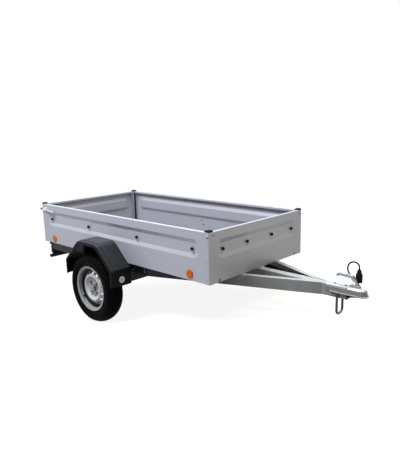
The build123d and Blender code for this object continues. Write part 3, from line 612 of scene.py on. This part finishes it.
# Faces that carry fasteners, and places that repeat
SHEET = 0.0015
GROOVE_DEPTH = 0.011
GROOVE_INSIDE = GROOVE_DEPTH + SHEET
BEAM_Y = 0.500
ARM_Y = 0.516
LATCH_Y = 0.548
REAR_PLATES_X = -0.004
SILL_X = 0.003
COUPLING_TOP = 0.004
KNOB_Z = 0.221
SIDE_KNOBS = [(x, KNOB_Z) for x in (0.158, 0.735, 1.361, 1.938)]
END_KNOBS = [(y, KNOB_Z) for y in (0.145, 0.4046)]
GUARD_FRONT = 1.281
GUARD_REAR = 0.629
GUARD_WASHERS = ((0.635, -0.101),)
CROSS_BOLTS = [(x, z) for x in (0.560, 1.387) for z in (-0.026, -0.054)]
HINGES = (-0.3593, 0, 0.3593)
FLOOR_SCREWS_X = (0.1, 0.56, 0.97, 1.387, 1.7, 2.0)
FLOOR_SCREWS_Y = (-0.48, 0, 0.48)
FASTENERS = (
    # name, body, slot, head, places with normals
    ("wall_rivets", "chassis", "coupling_zinc", "rivet", on_sides(
        HALF_WIDTH, ((2.069, 0.152), (2.082, 0.124), (2.065, 0.025), (0.027, 0.127)))),
    ("corner_bolts", "chassis", "coupling_zinc", "dome", on_sides(HALF_WIDTH, ((2.080, 0.318),))
        + across(BOX_FRONT, FORWARD, ((0.505, 0.328),))),
    ("front_stoppers", "chassis", "black_plastic", "stopper", across(BOX_FRONT, FORWARD, ((0.447, 0.0145),))),
    ("guard_bolts", "chassis", "coupling_zinc", "dome", on_sides(
        HALF_WIDTH - SHEET, ((1.004, 0.142), (1.023, 0.105), (0.789, 0.062)), inward=True)),
    ("knob_nuts", "chassis", "coupling_zinc", "rivet", on_sides(
        HALF_WIDTH - GROOVE_INSIDE, SIDE_KNOBS, inward=True)
        + across(BOX_FRONT - GROOVE_INSIDE, BACK, END_KNOBS)),
    ("tailgate_nuts", "tailgate", "coupling_zinc", "rivet", across(GROOVE_INSIDE, FORWARD, END_KNOBS)),
    ("washer_bolts", "chassis", "hub_steel", "hex", across(GUARD_FRONT, FORWARD, GUARD_WASHERS)
        + across(GUARD_REAR, BACK, GUARD_WASHERS)),
    ("coupling_bolts", "chassis", "coupling_zinc", "hex", [
        ((x, 0, COUPLING_TOP), UP) for x in (2.690, 2.765)]),
    ("beam_rivets", "chassis", "coupling_zinc", "rivet", [((2.236, 0.018, 0), UP)]),
    ("cross_bolts", "chassis", "coupling_zinc", "hex", on_sides(BEAM_Y, CROSS_BOLTS)),
    ("arm_nuts", "chassis", "hub_steel", "axle", on_sides(ARM_Y, ((1.060, -0.185),))),
    ("hinge_bolts", "chassis", "coupling_zinc", "pin", [
        ((SILL_X, y + shift, -0.029), BACK) for y in HINGES for shift in (-0.02, 0.02)]),
    ("leaf_bolts", "tailgate", "coupling_zinc", "hex", [
        ((REAR_PLATES_X, y + shift, 0.040), BACK) for y in HINGES for shift in (-0.016, 0.016)]),
    ("latch_pins", "chassis", "coupling_zinc", "pin", on_sides(LATCH_Y, ((0.050, 0.2915), (0.050, 0.3165)))),
    ("catch_rivets", "tailgate", "coupling_zinc", "rivet", across(
        REAR_PLATES_X, BACK, ((0.463, 0.304), (0.489, 0.304)))),
    ("lamp_screws", "chassis", "hub_steel", "pin", across(
        REAR_PLATES_X, BACK, ((0.302, -0.0855), (0.479, -0.0855)))),
    ("floor_screws", "chassis", "coupling_zinc", "screw", [
        ((x, y, FLOOR_TOP), UP) for x in FLOOR_SCREWS_X for y in FLOOR_SCREWS_Y]),
    ("wheel_bolts_left", "wheel_left", "hub_steel", "wheel", wheel_bolts(1)),
    ("wheel_bolts_right", "wheel_right", "hub_steel", "wheel", wheel_bolts(-1)),
)
for name, body, slot, head, places in FASTENERS:
    work = bmesh.new()
    for spot, normal in places:
        for sides, profile in HEADS[head]:
            add_turned(work, seat(spot, normal), profile, sides)
    add_piece(name, work, slot, body)

# Tapered sleeve where the cable leaves the drawbar; rows are radius and height
SLEEVE_SIDES = 24
SLEEVE = ((0.009, -0.001), (0.009, 0.003), (0.0078, 0.004), (0.0066, 0.016), (0.0058, 0.020), (0, 0.020))
work = bmesh.new()
add_turned(work, seat(CABLE_ROUTE[0], FORWARD), SLEEVE, SLEEVE_SIDES)
add_piece("cable_sleeve", work, "black_plastic", "chassis")

# Valve stems, which lean in from the rim towards the hub; rows are radius and height
VALVE_ANGLE = math.radians(215)
VALVE_CIRCLE = 0.161
VALVE_OUT = 0.024
VALVE_LEAN = 0.35
VALVE_SIDES = 16
VALVE = (
    (0.006, -0.004), (0.006, 0.006), (0.0048, 0.010), (0.0044, 0.022), (0.0046, 0.0225), (0.0046, 0.031),
    (0, 0.032),
)
WHEEL_SIDES = ((1, "left"), (-1, "right"))
for side, label in WHEEL_SIDES:
    radial = Vector((math.cos(VALVE_ANGLE), 0, math.sin(VALVE_ANGLE)))
    foot = Vector((WHEEL_X, side * (WHEEL_Y + VALVE_OUT), WHEEL_Z)) + VALVE_CIRCLE * radial
    lean = (Vector((0, side, 0)) - VALVE_LEAN * radial).normalized()
    work = bmesh.new()
    add_turned(work, seat(foot, lean), VALVE, VALVE_SIDES)
    add_piece(f"valve_{label}", work, "black_plastic", f"wheel_{label}")

# Tyres with a treaded crown and two raised rings on the walls, over the plain turned solids
TYRE_RADIUS = 0.281
TYRE_HALF = 0.075
WIDE_RADIUS = 0.226
SHOULDER = 0.064
SHOULDER_RADIUS = 0.257
BEAD = 0.054
BEAD_RADIUS = 0.182
SEAT_RADIUS = 0.1654
RING_RADII = (0.1905, 0.2475)
RING_HALF = 0.0016
RING_HEIGHT = 0.0007
TYRE_STEPS = 432
CROWN_STEPS = 64
WALL_STEPS = 22
TREAD_SHARP_ANGLE = math.radians(30)

# Tread: places and widths are shares of the crown's half width, pitches and cuts are steps round the tyre
TREAD_DEPTH = 0.0055
TREAD_PITCH = 12
GROOVES = (0.0, 0.34, 0.68)
GROOVE_HALF = 0.045
GROOVE_WAVE = 0.035
BLOCKS_FROM = 0.72
BLOCK_CUT = 2
BLOCK_CUT_DEPTH = 0.85
BLOCK_SLANT = 6
SIPE_CUT = 1
SIPE_DEPTH = 0.6
SIPE_SLANT = 10


def circle_through(first, middle, last):
    """Centre and radius of the circle through three points of a plane."""
    ax, ay = first
    bx, by = middle
    cx, cy = last
    d = 2 * (ax * (by - cy) + bx * (cy - ay) + cx * (ay - by))
    a, b, c = ax * ax + ay * ay, bx * bx + by * by, cx * cx + cy * cy
    x = (a * (by - cy) + b * (cy - ay) + c * (ay - by)) / d
    y = (a * (cx - bx) + b * (ax - cx) + c * (bx - ax)) / d
    return (x, y), math.hypot(ax - x, ay - y)


def arc_points(first, middle, last, steps):
    """Points along an arc through three points, both ends included."""
    (x, y), radius = circle_through(first, middle, last)
    start = math.atan2(first[1] - y, first[0] - x)
    sweep = math.atan2(last[1] - y, last[0] - x) - start
    sweep = (sweep + math.pi) % math.tau - math.pi
    angles = [start + sweep * step / steps for step in range(steps + 1)]
    return [(x + radius * math.cos(angle), y + radius * math.sin(angle)) for angle in angles]


def groove_depth(share, step):
    """Depth of the tread, 0 to 1, at a share of the crown's half width and a step round the tyre."""
    wave = GROOVE_WAVE * (abs((step % TREAD_PITCH) / (TREAD_PITCH / 2) - 1) - 0.5)
    for groove in GROOVES:
        if abs(abs(share) + (wave if groove else 0) - groove) < GROOVE_HALF:
            return 1.0
    if abs(share) > BLOCKS_FROM:
        cut = (step + round(abs(share) * BLOCK_SLANT)) % TREAD_PITCH < BLOCK_CUT
        return BLOCK_CUT_DEPTH if cut else 0.0
    cut = (step + round(share * SIPE_SLANT)) % TREAD_PITCH < SIPE_CUT
    return SIPE_DEPTH if cut else 0.0


def tyre_section():
    """Closed section as rows of place across and radius, and the index where the crown starts."""
    shoulder = (SHOULDER, SHOULDER_RADIUS)
    half = [(BEAD, SEAT_RADIUS)]
    for out, radius in arc_points((BEAD, BEAD_RADIUS), (TYRE_HALF, WIDE_RADIUS), shoulder, WALL_STEPS)[:-1]:
        raised = any(abs(radius - middle) < RING_HALF for middle in RING_RADII)
        half.append((out + (RING_HEIGHT if raised else 0), radius))
    crown = arc_points(shoulder, (0, TYRE_RADIUS), (-SHOULDER, SHOULDER_RADIUS), CROWN_STEPS)
    return half + crown + [(-out, radius) for out, radius in half[::-1]], len(half)


section, crown_start = tyre_section()
for side, label in WHEEL_SIDES:
    hub = Vector((WHEEL_X, side * WHEEL_Y, WHEEL_Z))
    work = bmesh.new()
    rings = []
    for step in range(TYRE_STEPS):
        angle = math.tau * step / TYRE_STEPS
        spoke = Vector((math.cos(angle), 0, math.sin(angle)))
        ring = []
        for index, (out, radius) in enumerate(section):
            if crown_start < index < crown_start + CROWN_STEPS:
                radius -= TREAD_DEPTH * groove_depth(out / SHOULDER, step)
            ring.append(work.verts.new(LEVEL @ (hub + Vector((0, out, 0)) + radius * spoke)))
        rings.append(ring)
    for one, two in zip(rings, rings[1:] + rings[:1]):
        for index in range(len(section)):
            after = (index + 1) % len(section)
            work.faces.new((one[index], one[after], two[after], two[index]))
    tread = add_piece(f"tread_{label}", work, "tyre_rubber", f"wheel_{label}", TREAD_SHARP_ANGLE)
    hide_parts(f"tyre_{label}")


# White studio: a floor that glows for what is seen and mirrored, a white surround and soft lamps
def seen_rays(tree):
    """1 for camera, glossy and transmission rays, else 0."""
    path = tree.nodes.new("ShaderNodeLightPath")
    seen = path.outputs["Is Camera Ray"]
    for ray in ("Is Glossy Ray", "Is Transmission Ray"):
        seen = calculate(tree, "MAXIMUM", seen, path.outputs[ray])
    return seen


WHITE = (1, 1, 1, 1)
FLOOR_HALF = 60
FLOOR_COLOUR = (0.22, 0.217, 0.21)
FLOOR_GLOW_NEAR = 0.9
GLOW_NEAR = 1.7
GLOW_FAR = 4.0
floor_mesh = bpy.data.meshes.new("floor")
floor_corners = [(FLOOR_HALF * x, FLOOR_HALF * y, 0) for x, y in ((-1, -1), (1, -1), (1, 1), (-1, 1))]
floor_mesh.from_pydata(floor_corners, [], [range(len(floor_corners))])
floor = bpy.data.objects.new("floor", floor_mesh)
bpy.context.collection.objects.link(floor)
floor_material, floor_tree, floor_shader = new_material("floor_white", FLOOR_COLOUR, roughness=0.9, gloss=0.0)
floor_shader.inputs["Emission Color"].default_value = WHITE
distance = length_of(floor_tree, place(floor_tree))
glow = between(floor_tree, distance, FLOOR_GLOW_NEAR, 1, start=GLOW_NEAR, end=GLOW_FAR)
floor_glow = calculate(floor_tree, "MULTIPLY", glow, seen_rays(floor_tree))
floor_tree.links.new(floor_glow, floor_shader.inputs["Emission Strength"])
floor_mesh.materials.append(floor_material)

WORLD_LIGHT = 0.12
world = bpy.data.worlds.new("surround")
world.use_nodes = True
bpy.context.scene.world = world
world_tree = world.node_tree
world_shader = world_tree.nodes["Background"]
world_shader.inputs["Color"].default_value = WHITE
world_glow = between(world_tree, seen_rays(world_tree), WORLD_LIGHT, 1)
world_tree.links.new(world_glow, world_shader.inputs["Strength"])

LAMPS = (
    # name, place and target in the level frame, width, height, power in watts, colour
    ("overhead", (0.6, -0.3, 3.6), (0.6, 0.0, 0.0), 4.0, 3.0, 215, (0.55, 0.7, 1.0)),
    ("side", (0.4, -2.3, 4.0), (1.0, -0.5, 0.0), 2.4, 1.4, 256, (1.0, 0.985, 0.97)),
    ("front", (3.4, 0.2, 3.0), (2.1, 0.0, 0.1), 1.2, 1.0, 54, (1.0, 0.87, 0.56)),
)
for name, spot, target, width, height, power, colour in LAMPS:
    lamp_data = bpy.data.lights.new(name, "AREA")
    lamp_data.shape = "RECTANGLE"
    lamp_data.size = width
    lamp_data.size_y = height
    lamp_data.energy = power
    lamp_data.color = colour
    lamp = bpy.data.objects.new(name, lamp_data)
    lamp_place = LEVEL @ Vector(spot)
    aim = (LEVEL @ Vector(target)) - lamp_place
    lamp.matrix_world = Matrix.Translation(lamp_place) @ aim.to_track_quat("-Z", "Y").to_matrix().to_4x4()
    bpy.context.collection.objects.link(lamp)

bpy.context.scene.view_settings.view_transform = "Standard"
